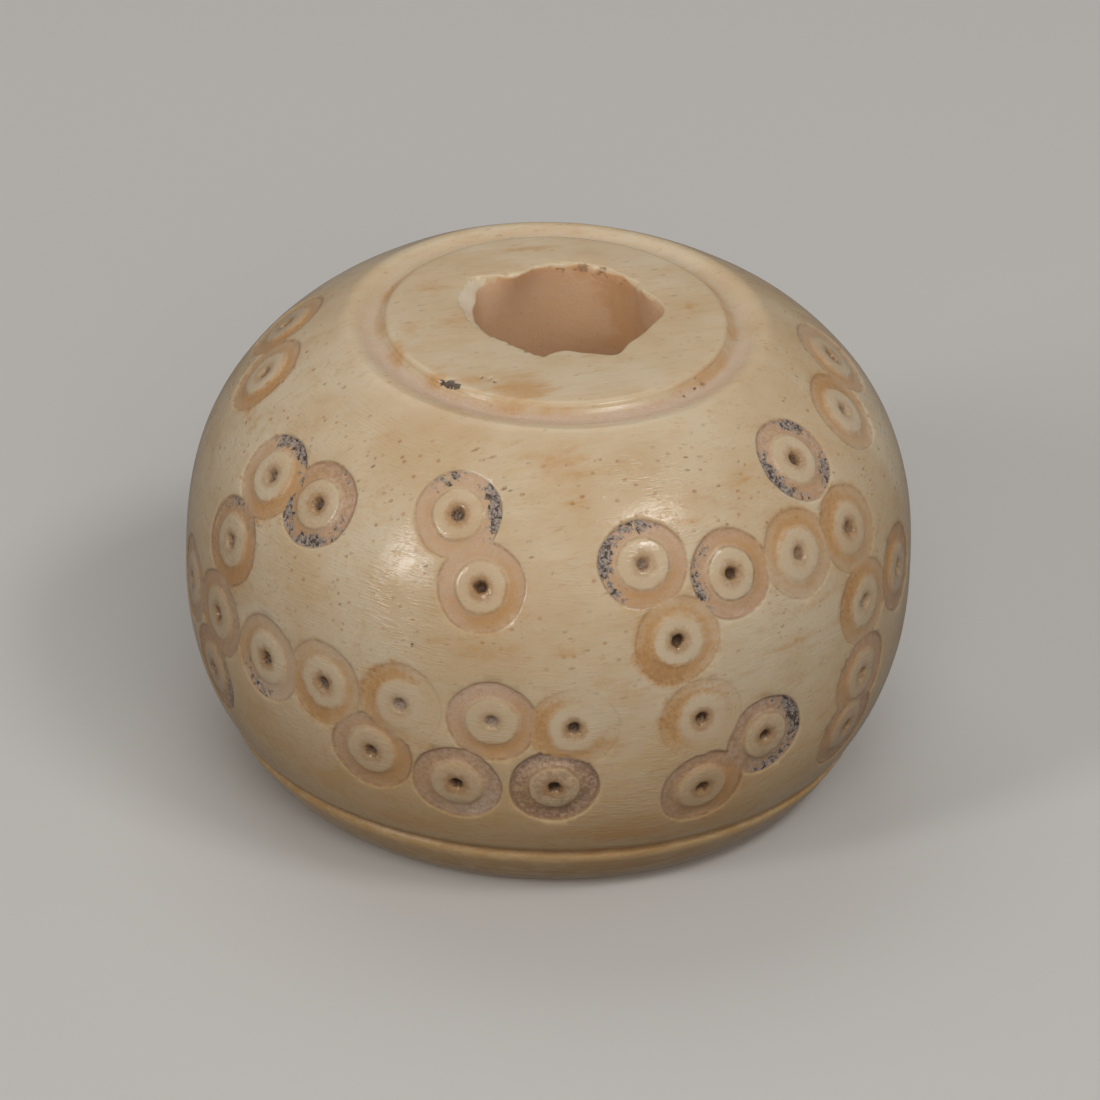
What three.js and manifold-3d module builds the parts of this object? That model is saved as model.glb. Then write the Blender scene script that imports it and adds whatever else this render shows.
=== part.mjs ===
// A turned bone spindle whorl: a flattened globe with a flat base, a raised flat disc on top inside a
// shallow moat, and one bore for the spindle. Rings and dots struck with a centre bit cover its side.
// Millimetres, +Z up. The origin is the centre of the base, and azimuth 0 faces -Y, growing towards +X.
import * as THREE from "three";
import { mergeVertices } from "three/addons/utils/BufferGeometryUtils.js";
import Module from "manifold-3d";

const wasm = await Module();
wasm.setup();

// The turned body
const overallHeight = 17.55;
const bodyDiameter = 26;
const equatorHeight = 8;
const lowerCurvePower = 2.39;
const lowerCurveFullness = 2.05;
const upperCurvePower = 2.6;
const upperCurveFullness = 1.72;

// The rounded band round the flat base, the groove over it, and how far the side steps out past it
const baseFlatDiameter = 18.6;
const baseBandHeight = 1.95;
const baseBandSpread = 2.05;
const baseBandFlareDegrees = 28;
const baseGrooveWidth = 0.3;
const baseGrooveDepth = 0.22;
const footStep = 0.15;

// The raised disc on top, the moat round it and the lip outside the moat
const discDiameter = 12.3;
const discEdgeRounding = 0.12;
const moatDrop = 0.48;
const moatWallRun = 0.3;
const lipRise = 0.15;
const lipRun = 1.1;

// The bore, drilled a little off the axis. Its wall is worn uneven near the top.
const boreDiameter = 6.4;
const boreOffsetX = 0.28;
const boreOffsetY = 0.65;
const boreWornDepth = 6;
// Waves of the worn wall, outwards or, where the share is negative, inwards. Angles are degrees from +X,
// and the shares here and in the flakes are of the bore's radius.
const boreWaves = [
  { angle: 147, halfWidthDegrees: 12, reachShare: 0.11 },
  { angle: 124, halfWidthDegrees: 16, reachShare: -0.125 },
  { angle: 76, halfWidthDegrees: 16, reachShare: 0.04 },
  { angle: 25, halfWidthDegrees: 16, reachShare: -0.08 },
  { angle: -8, halfWidthDegrees: 14, reachShare: 0.07 },
  { angle: -60, halfWidthDegrees: 12, reachShare: 0.14 },
  { angle: -91, halfWidthDegrees: 12, reachShare: -0.05 },
  { angle: -150, halfWidthDegrees: 14, reachShare: -0.03 },
];
// Flakes broken off the bore's top edge
const rimFlakes = [
  { angle: 163, lengthShare: 0.4, depthShare: 0.12 },
  { angle: 187, lengthShare: 0.28, depthShare: 0.08 },
  { angle: 212, lengthShare: 0.28, depthShare: 0.06 },
  { angle: 40, lengthShare: 0.25, depthShare: 0.055 },
];
const flakeWidthToLength = 0.55;

// One ring and dot, as the centre bit leaves it
const ringDiameter = 3.22;
const ringGrooveWidth = 0.63;
const ringDepth = 0.32;
const dotDiameter = 0.56;
const dotDepth = 0.42;

// Where the rings lie: azimuth in degrees, then how far up the side in percent of its curved length
const leftShoulderPair = [[-104, 83], [-87, 79.9]];
const leftChain = [[-46.5, 71.4], [-60, 70.5], [-63, 53.2], [-64, 35.7], [-77.5, 34.1], [-67, 20.5]];
const frontChain = [
  [-49.5, 34.7], [-37, 35.8], [-28, 23.6], [-23, 36.7], [-13.5, 19.9], [-8, 36.4], [2.2, 21], [5, 35.8],
];
const frontPair = [[-18, 79.1], [-11.3, 65.1]];
const rightArch = [
  [61, 62.3], [47.3, 63.7], [32.8, 64.8], [17, 70.2], [21.7, 53.5], [25.7, 35], [37.8, 26.5], [27, 17.1],
];
const rightShoulder = [[57, 80.8], [81, 79.1], [98, 83]];
const rightArchFoot = [[61.3, 45.5], [75.2, 44.1], [61, 28.4], [59, 16.5]];

// The far side repeats a plainer pattern: a band low down, and leaning pairs above it.
const backStartDegrees = 96;
const backEndDegrees = 262;
const backBandCount = 8;
const backBandClimbs = [35, 23];
const backPairCount = 2;
const backPairClimbs = [79, 65];
const backPairLeanDegrees = 7;

// Fineness of the facets
const turnSegments = 36;
const sideSteps = 9;
const bandSteps = 3;
const ringSegments = 12;
const dotSegments = 4;
const boreSegments = 24;

// How far a cutter stands clear of what it cuts, and how close two corners are before they are one
const cutterClearance = 0.6;
const mergeDistance = 1e-4;

const BONE_COLOUR = 0xd9c59e;
const BONE_ROUGHNESS = 0.42;

const bodyRadius = bodyDiameter / 2;
const boreRadius = boreDiameter / 2;
const discRadius = discDiameter / 2;
const baseBandRadius = baseFlatDiameter / 2 + baseBandSpread;
const footRadius = baseBandRadius + footStep;
const footHeight = baseBandHeight + baseGrooveWidth;
const moatFloorRadius = discRadius + moatWallRun;
const moatFloorHeight = overallHeight - moatDrop;
const lipRadius = moatFloorRadius + lipRun;
const lipHeight = moatFloorHeight + lipRise;

// A solid for joining and cutting, from a closed geometry
function solidFrom(geometry) {
  const bare = new THREE.BufferGeometry();
  bare.setAttribute("position", geometry.getAttribute("position"));
  bare.setIndex(geometry.index);
  const merged = mergeVertices(bare, mergeDistance);
  const mesh = new wasm.Mesh({
    numProp: 3,
    vertProperties: merged.attributes.position.array,
    triVerts: new Uint32Array(merged.index.array),
  });
  return new wasm.Manifold(mesh);
}

function geometryFrom(solid) {
  const mesh = solid.getMesh();
  const geometry = new THREE.BufferGeometry();
  geometry.setAttribute("position", new THREE.BufferAttribute(mesh.vertProperties, 3));
  geometry.setIndex(new THREE.BufferAttribute(mesh.triVerts, 1));
  geometry.computeVertexNormals();
  return geometry;
}

// A profile of radius and height pairs turned about +Z
function turned(profile, segments) {
  const points = profile.map(([radius, height]) => new THREE.Vector2(radius, height));
  return new THREE.LatheGeometry(points, segments).rotateX(Math.PI / 2);
}

// The side from its foot to the lip: two superellipse arcs, both upright where they meet at the equator
class SideCurve extends THREE.Curve {
  getPoint(t, target = new THREE.Vector2()) {
    const height = THREE.MathUtils.lerp(footHeight, lipHeight, t);
    const above = height > equatorHeight;
    const endHeight = above ? lipHeight : footHeight;
    const endRadius = above ? lipRadius : footRadius;
    const power = above ? upperCurvePower : lowerCurvePower;
    const fullness = above ? upperCurveFullness : lowerCurveFullness;
    const share = ((height - equatorHeight) / (endHeight - equatorHeight)) ** power;
    const drop = share * (1 - (endRadius / bodyRadius) ** fullness);
    return target.set(bodyRadius * (1 - drop) ** (1 / fullness), height);
  }
}
const side = new SideCurve();

// The rounded band, from the flat of the base out to the groove
function bandProfile() {
  const flare = baseBandHeight * Math.tan(THREE.MathUtils.degToRad(baseBandFlareDegrees));
  const curve = new THREE.QuadraticBezierCurve(
    new THREE.Vector2(baseFlatDiameter / 2, 0),
    new THREE.Vector2(baseBandRadius - flare, 0),
    new THREE.Vector2(baseBandRadius, baseBandHeight),
  );
  return curve.getPoints(bandSteps).map((point) => point.toArray());
}

function bodyProfile() {
  return [
    [0, 0],
    ...bandProfile(),
    [baseBandRadius - baseGrooveDepth, baseBandHeight + baseGrooveWidth / 2],
    ...side.getSpacedPoints(sideSteps).map((point) => point.toArray()),
    [moatFloorRadius, moatFloorHeight],
    [discRadius, overallHeight - discEdgeRounding],
    [discRadius - discEdgeRounding, overallHeight],
    [0, overallHeight],
  ];
}

// How far the bore's worn edge lies from its centre, at an angle in degrees from +X
function wornBoreRadius(degrees) {
  let share = 1;
  for (const wave of boreWaves) {
    const away = THREE.MathUtils.euclideanModulo(degrees - wave.angle + 180, 360) - 180;
    share += wave.reachShare * Math.exp(-((away / wave.halfWidthDegrees) ** 2));
  }
  return boreRadius * share;
}

// A round plug whose wall takes the worn outline over its top length
function boreCutter() {
  const plug = turned([
    [0, -cutterClearance],
    [boreRadius, -cutterClearance],
    [boreRadius, overallHeight - boreWornDepth],
    [boreRadius, overallHeight],
    [boreRadius, overallHeight + cutterClearance],
    [0, overallHeight + cutterClearance],
  ], boreSegments);
  const position = plug.getAttribute("position");
  for (let i = 0; i < position.count; i++) {
    const x = position.getX(i);
    const y = position.getY(i);
    const wear = THREE.MathUtils.clamp(1 + (position.getZ(i) - overallHeight) / boreWornDepth, 0, 1);
    const wornShare = wornBoreRadius(THREE.MathUtils.radToDeg(Math.atan2(y, x))) / boreRadius;
    const share = THREE.MathUtils.lerp(1, wornShare, wear);
    position.setXY(i, boreOffsetX + x * share, boreOffsetY + y * share);
  }
  return solidFrom(plug);
}

// A flattened scoop taken off the bore's top edge
function flakeCutter({ angle, lengthShare, depthShare }) {
  const turn = THREE.MathUtils.degToRad(angle);
  const radius = wornBoreRadius(angle);
  const scoop = new THREE.SphereGeometry(1, 8, 6).rotateX(Math.PI / 2);
  scoop.scale(
    boreRadius * lengthShare * flakeWidthToLength,
    boreRadius * lengthShare,
    boreRadius * depthShare,
  );
  scoop.rotateZ(turn);
  scoop.translate(
    boreOffsetX + radius * Math.cos(turn),
    boreOffsetY + radius * Math.sin(turn),
    overallHeight,
  );
  return solidFrom(scoop);
}

// Moves a cutter made about +Z, with its zero at the surface, to its place on the side
function setOnSide(geometry, [azimuthDegrees, climbPercent]) {
  const climb = climbPercent / 100;
  const point = side.getPointAt(climb);
  const tangent = side.getTangentAt(climb);
  const azimuth = THREE.MathUtils.degToRad(azimuthDegrees);
  const acrossShare = Math.sin(azimuth);
  const awayShare = -Math.cos(azimuth);
  const normal = new THREE.Vector3(tangent.y * acrossShare, tangent.y * awayShare, -tangent.x);
  const turn = new THREE.Quaternion().setFromUnitVectors(new THREE.Vector3(0, 0, 1), normal);
  geometry.applyQuaternion(turn);
  return geometry.translate(point.x * acrossShare, point.x * awayShare, point.y);
}

function ringCutter(place) {
  const outer = ringDiameter / 2;
  const inner = outer - ringGrooveWidth;
  const ring = turned([
    [inner, -ringDepth],
    [outer, -ringDepth],
    [outer, cutterClearance],
    [inner, cutterClearance],
    [inner, -ringDepth],
  ], ringSegments);
  return solidFrom(setOnSide(ring, place));
}

function dotCutter(place) {
  const dot = turned([
    [0, -dotDepth],
    [dotDiameter / 2, 0],
    [dotDiameter / 2, cutterClearance],
    [0, cutterClearance],
  ], dotSegments);
  return solidFrom(setOnSide(dot, place));
}

// The far side's places, spread evenly between its first and last azimuth
function backPlaces() {
  const azimuthOf = (index, count) => (
    THREE.MathUtils.lerp(backStartDegrees, backEndDegrees, (index + 0.5) / count)
  );
  const places = [];
  for (let i = 0; i < backBandCount; i++) {
    places.push([azimuthOf(i, backBandCount), backBandClimbs[i % backBandClimbs.length]]);
  }
  for (let i = 0; i < backPairCount; i++) {
    const azimuth = azimuthOf(i, backPairCount);
    places.push([azimuth, backPairClimbs[0]]);
    places.push([azimuth + backPairLeanDegrees, backPairClimbs[1]]);
  }
  return places;
}

function carvedWhorl() {
  const places = [
    ...leftShoulderPair,
    ...leftChain,
    ...frontChain,
    ...frontPair,
    ...rightArch,
    ...rightShoulder,
    ...rightArchFoot,
    ...backPlaces(),
  ];
  const cutters = [
    boreCutter(),
    ...rimFlakes.map(flakeCutter),
    ...places.map(ringCutter),
    ...places.map(dotCutter),
  ];
  const cuts = cutters.reduce((joined, cutter) => joined.add(cutter));
  return solidFrom(turned(bodyProfile(), turnSegments)).subtract(cuts);
}

const bone = new THREE.MeshStandardMaterial({
  color: BONE_COLOUR,
  roughness: BONE_ROUGHNESS,
  metalness: 0,
});

const whorl = new THREE.Mesh(geometryFrom(carvedWhorl()), bone);
whorl.name = "whorl";

const group = new THREE.Group();
group.add(whorl);

export default group;
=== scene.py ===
"""A turned bone spindle whorl, dressed for its photograph.

The whorl is one piece: a blank spun from its turned profile, refined where the centre bit struck it, and
then cut by moving its points inwards. What each cut left in the bone is kept in named attributes that the
bone's material reads. Sizes are in millimetres until a point is placed, and the scene is in metres.
Azimuth 0 faces -Y and grows towards +X. A climb is how far up the side a mark lies, in percent of the
side's curved length.
"""

import math
from dataclasses import dataclass

import bmesh
import bpy
import numpy as np
from mathutils import Matrix, Vector, noise


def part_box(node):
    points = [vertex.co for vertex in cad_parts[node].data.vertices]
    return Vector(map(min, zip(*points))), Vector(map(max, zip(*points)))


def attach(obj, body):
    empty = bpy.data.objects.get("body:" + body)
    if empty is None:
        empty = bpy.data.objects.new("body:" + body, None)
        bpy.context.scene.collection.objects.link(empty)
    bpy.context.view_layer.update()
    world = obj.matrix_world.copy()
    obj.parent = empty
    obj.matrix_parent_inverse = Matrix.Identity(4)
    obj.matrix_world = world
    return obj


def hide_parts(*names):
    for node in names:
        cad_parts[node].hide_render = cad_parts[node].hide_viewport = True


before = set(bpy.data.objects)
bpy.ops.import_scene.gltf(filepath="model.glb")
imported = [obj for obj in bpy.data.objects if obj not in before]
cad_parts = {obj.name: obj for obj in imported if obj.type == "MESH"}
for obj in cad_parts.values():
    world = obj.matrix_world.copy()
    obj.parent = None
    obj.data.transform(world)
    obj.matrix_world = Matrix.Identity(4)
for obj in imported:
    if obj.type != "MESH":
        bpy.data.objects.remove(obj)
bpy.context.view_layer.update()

MM = 0.001

# The turned body, from the frame's own box
LOWEST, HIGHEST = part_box("whorl")
BODY_RADIUS = (HIGHEST.x - LOWEST.x) / 2 / MM
DISC_HEIGHT = HIGHEST.z / MM
EQUATOR_HEIGHT = 8.0
LOWER_POWER = 2.39
LOWER_FULLNESS = 2.05
UPPER_POWER = 2.6
UPPER_FULLNESS = 1.72

# The band round the flat base, the groove over it and the side's foot
BASE_RADIUS = 9.3
BAND_HEIGHT = 1.95
BAND_RADIUS = 11.35
BAND_FLARE_DEGREES = 28
GROOVE_WIDTH = 0.3
GROOVE_DEPTH = 0.16
FOOT_RADIUS = 11.5
FOOT_HEIGHT = BAND_HEIGHT + GROOVE_WIDTH

# The lip, the moat and the raised disc
LIP_RADIUS = 7.55
LIP_HEIGHT = DISC_HEIGHT - 0.33
MOAT_RADIUS = 6.45
MOAT_HEIGHT = DISC_HEIGHT - 0.48
DISC_RADIUS = 6.15
DISC_EDGE = 0.16
DISC_FALL = 0.07
DISC_LOW = DISC_HEIGHT - DISC_FALL

# The bore and its worn, broken rim
BORE_RADIUS = 3.2
BORE_CENTRE = (0.28, 0.65)
BORE_WORN_DEPTH = 2.2
BORE_EDGE = 0.12

# The outline's curves, as radius and height: the start, the corner that the curve bends towards, the end
BAND_CURVE = (
    (BASE_RADIUS, 0),
    (BAND_RADIUS - BAND_HEIGHT * math.tan(math.radians(BAND_FLARE_DEGREES)), 0),
    (BAND_RADIUS, BAND_HEIGHT - 0.08),
)
LIP_CURVE = (
    (LIP_RADIUS, LIP_HEIGHT),
    (LIP_RADIUS - 0.3, LIP_HEIGHT + 0.05),
    (MOAT_RADIUS + 0.45, MOAT_HEIGHT + 0.03),
)
MOAT_CURVE = (
    (MOAT_RADIUS + 0.3, MOAT_HEIGHT),
    (MOAT_RADIUS - 0.12, MOAT_HEIGHT - 0.07),
    (DISC_RADIUS + 0.05, MOAT_HEIGHT + 0.18),
)
DISC_EDGE_CURVE = (
    (DISC_RADIUS, DISC_LOW - DISC_EDGE - 0.04),
    (DISC_RADIUS - 0.02, DISC_LOW),
    (DISC_RADIUS - 0.3, DISC_LOW),
)
RIM_CURVE = (
    (BORE_RADIUS + BORE_EDGE, DISC_HEIGHT),
    (BORE_RADIUS, DISC_HEIGHT),
    (BORE_RADIUS, DISC_HEIGHT - BORE_EDGE),
)
GROOVE_POINTS = [
    (BAND_RADIUS - 0.04, BAND_HEIGHT),
    (BAND_RADIUS - GROOVE_DEPTH, BAND_HEIGHT + GROOVE_WIDTH * 0.4),
    (BAND_RADIUS - GROOVE_DEPTH + 0.02, BAND_HEIGHT + GROOVE_WIDTH * 0.7),
    (FOOT_RADIUS - 0.1, FOOT_HEIGHT - 0.02),
]

# One ring and dot, as the centre bit leaves it
RING_RADIUS = 1.61
RING_DEPTH = 0.08
OUTER_WALL = 0.1
EYE_RADIUS = 0.98
EYE_WALL = 0.24
EYE_LINE_RADIUS = 0.95
EYE_LINE_WIDTH = 0.05
EYE_LINE_DEPTH = 0.02
DOT_RADIUS = 0.31
DOT_FLOOR_RADIUS = 0.1
DOT_DEPTH = 0.3

# The bit's waver in the hand: how far, how many times round the ring, and its shift from ring to ring
WAVERS = ((0.024, 2, 1), (0.016, 5, 2), (0.005, 11, 3))

# How far off its own plane a ring still counts, and the distance that stands for no ring at all
RING_GRASP = 1.5
FAR = 9.0

# How fine the mesh is. Rows of the disc and the bore crowd towards the rim by a power.
TURN_STEPS = 288
SIDE_STEP = 0.285
BASE_ROWS = 11
BAND_ROWS = 10
LIP_ROWS = 7
MOAT_ROWS = 7
DISC_EDGE_ROWS = 6
DISC_ROWS = 20
DISC_CROWDING = 1.4
RIM_ROWS = 4
BORE_ROWS = 33
BORE_CROWDING = 1.6
REFINEMENTS = 2
REFINED_MARGIN = 0.12


@dataclass
class Ring:
    """One struck ring: where it lies, how deep it is cut and what it shows.

    Depth is a multiple of the usual one, and the other shares run from 0 to 1. Sides are degrees round the
    ring from its right. Each crust is a side, a spread to both hands of it and how thick the dirt lies there.
    """

    azimuth: float
    climb: float
    depth: float = 1.0
    tan: float = 0.6
    brown: float = 0.0
    stain: float = 0.5
    stain_side: float = 200.0
    crusts: tuple = ()
    # Pale pink on the floor towards one side: partly real chalk, partly a painted highlight where light
    # catches the groove's lower lip
    chalk_and_glint_side: float = 270.0
    chalk_and_glint: float = 0.0
    faded_side: float | None = None
    gloss: float = 0.3
    dot: float = 0.8
    fill: float = 0.0
    inner_line: float = 0.0


LEFT_RINGS = [
    Ring(-104, 83, stain=0.8, stain_side=10),
    Ring(-87, 79.9, stain=0.9, stain_side=0, dot=0.6),
    Ring(-46.5, 71.4, tan=1.0, brown=0.3,
         crusts=((205, 50, 0.95), (285, 45, 0.85), (340, 25, 0.6), (60, 45, 0.3)),
         dot=0.9, fill=0.3, inner_line=0.5),
    Ring(-60, 70.5, tan=0.7, stain=0.7, stain_side=320,
         crusts=((70, 30, 1.0), (115, 25, 0.85)), dot=0.7, fill=0.5),
    Ring(-63, 53.2, tan=0.9, brown=0.35, stain=0.8, stain_side=300,
         crusts=((110, 45, 0.5),), dot=0.6, fill=0.7),
    Ring(-64, 35.7, tan=0.8, brown=0.2, stain=0.5, dot=0.75),
    Ring(-77.5, 34.1, tan=0.8, brown=0.2, stain=0.4, dot=0.6),
    Ring(-67, 20.5, tan=0.8, brown=0.4, crusts=((340, 40, 0.8),), dot=0.7),
]
FRONT_RINGS = [
    Ring(-49.5, 34.7, stain=0.5, stain_side=180,
         crusts=((250, 45, 0.55), (205, 18, 0.5)), chalk_and_glint=0.5, dot=0.95, fill=0.25),
    Ring(-37, 35.8, depth=0.7, tan=0.35, stain=0.75, stain_side=255, dot=0.9, fill=0.3),
    Ring(-28, 23.6, depth=1.2, tan=0.8, brown=0.2, stain=0.7, stain_side=330, dot=0.75),
    Ring(-23, 36.7, depth=0.5, tan=0.2, stain=0.8, stain_side=150, faded_side=340,
         dot=0.5, fill=0.8),
    Ring(-13.5, 19.9, depth=1.4, tan=0.9, brown=0.35, stain=0.35,
         chalk_and_glint=0.5, chalk_and_glint_side=300, dot=1.0),
    Ring(-8, 36.4, tan=1.0, stain=0.6, stain_side=290, chalk_and_glint=0.4, chalk_and_glint_side=130,
         dot=0.45, fill=0.9),
    Ring(2.2, 21, depth=2.0, tan=1.0, brown=0.85, stain=0.3, chalk_and_glint=0.4, chalk_and_glint_side=100,
         gloss=0.0, dot=1.0, inner_line=1.0),
    Ring(5, 35.8, depth=0.5, tan=0.2, stain=0.9, stain_side=170, faded_side=50,
         dot=0.95, fill=0.2),
    Ring(-18, 79.1, tan=0.7, stain=0.35, stain_side=230,
         crusts=((15, 38, 1.0), (50, 16, 0.8), (125, 30, 0.6)),
         gloss=1.0, dot=0.9, fill=0.5, inner_line=0.5),
    Ring(-11.3, 65.1, tan=0.75, stain=0.6, stain_side=310, gloss=0.9, dot=0.95, inner_line=0.4),
]
RIGHT_RINGS = [
    Ring(61, 62.3, depth=0.8, tan=0.4, stain=0.8, stain_side=130, gloss=0.6, dot=0.85, fill=0.4),
    Ring(47.3, 63.7, depth=0.7, tan=0.4, stain=0.7, stain_side=80, gloss=0.8, dot=0.5),
    Ring(32.8, 64.8, tan=1.0, stain=0.5, stain_side=20,
         crusts=((190, 38, 0.75), (140, 30, 0.5)), gloss=0.5, dot=0.9, inner_line=0.7),
    Ring(17, 70.2, tan=0.9, stain=0.5, stain_side=280,
         crusts=((165, 38, 1.0), (95, 45, 0.62), (215, 25, 0.5)),
         gloss=1.0, dot=0.6, fill=0.5, inner_line=0.4),
    Ring(21.7, 53.5, depth=0.6, tan=0.35, stain=1.0, stain_side=230, gloss=0.4, dot=0.95),
    Ring(25.7, 35, depth=0.4, tan=0.1, stain=0.9, stain_side=190, faded_side=300, dot=0.95),
    Ring(37.8, 26.5, depth=1.4, tan=1.0, brown=0.35, stain=0.2,
         crusts=((20, 60, 1.0), (290, 40, 0.7)), gloss=0.1, dot=0.9, inner_line=0.5),
    Ring(27, 17.1, depth=1.3, tan=0.9, brown=0.3, stain=0.7, stain_side=330, gloss=0.15, dot=0.9),
    Ring(57, 80.8, tan=1.0, brown=0.1, stain=0.3, stain_side=250,
         crusts=((190, 60, 0.95), (45, 30, 0.8), (320, 30, 0.8)), dot=0.8),
    Ring(81, 79.1, tan=0.5, stain=0.8, stain_side=60, dot=0.5, fill=0.2),
    Ring(98, 83, stain=0.5),
    Ring(61.3, 45.5, depth=0.7, tan=0.4, stain=0.9, stain_side=150, dot=0.5),
    Ring(75.2, 44.1, tan=0.8, brown=0.4, stain=0.7, stain_side=120, dot=0.5),
    Ring(61, 28.4, tan=1.0, brown=0.2, stain=0.6, chalk_and_glint=0.4, dot=0.5),
    Ring(59, 16.5, tan=0.9, brown=0.4, dot=0.6),
]

# The far side, which the photograph doesn't show, repeats a plainer pattern.
BACK_START = 96
BACK_END = 262
BACK_BAND_COUNT = 8
BACK_BAND_CLIMBS = (35, 23)
BACK_PAIR_COUNT = 2
BACK_PAIR_CLIMBS = (79, 65)
BACK_PAIR_LEAN = 7


def back_rings():
    rings = []
    for index in range(BACK_BAND_COUNT):
        share = (index + 0.5) / BACK_BAND_COUNT
        azimuth = BACK_START + (BACK_END - BACK_START) * share
        rings.append(Ring(azimuth, BACK_BAND_CLIMBS[index % len(BACK_BAND_CLIMBS)]))
    for index in range(BACK_PAIR_COUNT):
        share = (index + 0.5) / BACK_PAIR_COUNT
        azimuth = BACK_START + (BACK_END - BACK_START) * share
        rings.append(Ring(azimuth, BACK_PAIR_CLIMBS[0]))
        rings.append(Ring(azimuth + BACK_PAIR_LEAN, BACK_PAIR_CLIMBS[1]))
    return rings


def side_radius(height):
    """The side's radius at a height: two superellipse arcs that meet upright at the equator."""
    above = height > EQUATOR_HEIGHT
    end_height = LIP_HEIGHT if above else FOOT_HEIGHT
    end_radius = LIP_RADIUS if above else FOOT_RADIUS
    power = UPPER_POWER if above else LOWER_POWER
    fullness = UPPER_FULLNESS if above else LOWER_FULLNESS
    share = ((height - EQUATOR_HEIGHT) / (end_height - EQUATOR_HEIGHT)) ** power
    drop = share * (1 - (end_radius / BODY_RADIUS) ** fullness)
    return BODY_RADIUS * (1 - drop) ** (1 / fullness)


def side_curve(samples=2000):
    """Points up the side, and how far along its curve each one lies."""
    heights = np.linspace(FOOT_HEIGHT, LIP_HEIGHT, samples)
    radii = np.array([side_radius(height) for height in heights])
    steps = np.hypot(np.diff(radii), np.diff(heights))
    return radii, heights, np.concatenate([[0], np.cumsum(steps)])


SIDE_RADII, SIDE_HEIGHTS, SIDE_LENGTHS = side_curve()
SIDE_LENGTH = SIDE_LENGTHS[-1]


def on_side(climb):
    """Radius and height of a climb up the side, and the unit direction of the side there."""
    length = climb / 100 * SIDE_LENGTH
    reach = 0.05
    radius, low_radius, high_radius = np.interp(
        [length, length - reach, length + reach], SIDE_LENGTHS, SIDE_RADII
    )
    height, low_height, high_height = np.interp(
        [length, length - reach, length + reach], SIDE_LENGTHS, SIDE_HEIGHTS
    )
    direction = Vector((high_radius - low_radius, high_height - low_height)).normalized()
    return radius, height, direction


def place_on_side(azimuth, climb):
    """The point of a climb and azimuth, and the directions across, up and out of the surface there."""
    radius, height, direction = on_side(climb)
    angle = math.radians(azimuth)
    across_share = math.sin(angle)
    away_share = -math.cos(angle)
    point = np.array([radius * across_share, radius * away_share, height])
    across = np.array([math.cos(angle), math.sin(angle), 0])
    upward = np.array([direction.x * across_share, direction.x * away_share, direction.y])
    outward = np.array([direction.y * across_share, direction.y * away_share, -direction.x])
    return point, across, upward, outward


def place_on_top(right, away, drop=0.05):
    """The same for a point of the disc or the moat, a drop below the disc's height."""
    point = np.array([right, away, DISC_HEIGHT - drop])
    return point, np.array([1, 0, 0]), np.array([0, 1, 0]), np.array([0, 0, 1])


@dataclass
class Smudge:
    """A stain soaked into the bone: its place, its size across and up in millimetres, and its strength."""

    place: tuple
    across: float
    up: float
    amount: float


# A smudge is left out farther from its middle than this many times its size across.
SMUDGE_REACH = 3

SMUDGES = [
    Smudge(place_on_side(2, 92), 1.5, 0.8, 0.5),
    Smudge(place_on_side(6, 84), 1.2, 0.3, 0.5),
    Smudge(place_on_side(3, 53), 0.6, 0.25, 0.7),
    Smudge(place_on_side(15, 6), 2.0, 0.45, 0.9),
    Smudge(place_on_side(-10, 52), 2.2, 0.4, 0.4),
    Smudge(place_on_side(42, 46), 2.2, 0.2, 0.5),
    Smudge(place_on_side(28, 77), 0.6, 0.15, 0.7),
    Smudge(place_on_side(42, 82), 0.5, 0.15, 0.7),
    Smudge(place_on_side(-37, 28), 0.4, 0.2, 0.9),
    Smudge(place_on_side(-58, 63), 0.8, 0.3, 0.8),
    Smudge(place_on_side(-76, 74), 1.6, 0.5, 0.4),
    Smudge(place_on_side(-8, 30), 0.9, 0.25, 0.7),
    Smudge(place_on_side(10, 32), 0.7, 0.3, 0.7),
    Smudge(place_on_side(30, 5), 3.0, 0.6, 0.5),
    Smudge(place_on_side(-25, 5), 3.0, 0.5, 0.4),
    Smudge(place_on_side(12, 44), 0.8, 0.6, 0.45),
    Smudge(place_on_side(-2, 60), 1.6, 0.2, 0.5),
    Smudge(place_on_side(50, 53), 1.4, 0.2, 0.5),
    Smudge(place_on_top(-1.2, -5.3), 1.2, 0.8, 0.8),
    Smudge(place_on_top(-2.9, -4.7), 0.9, 0.3, 0.6),
    Smudge(place_on_top(-4.2, -4.4), 0.5, 0.5, 0.7),
    Smudge(place_on_top(-5.6, -2.6), 0.35, 0.9, 0.6),
    Smudge(place_on_top(-3.6, -0.9), 0.5, 1.0, 0.4),
    Smudge(place_on_top(-1.6, 4.9), 1.6, 0.6, 0.3),
    Smudge(place_on_top(-4.6, 1.7), 0.9, 0.8, 0.4),
    Smudge(place_on_top(-5.2, -1.2), 0.5, 0.7, 0.5),
    Smudge(place_on_top(4.6, 0.9), 0.3, 0.9, 0.4),
]

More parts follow.
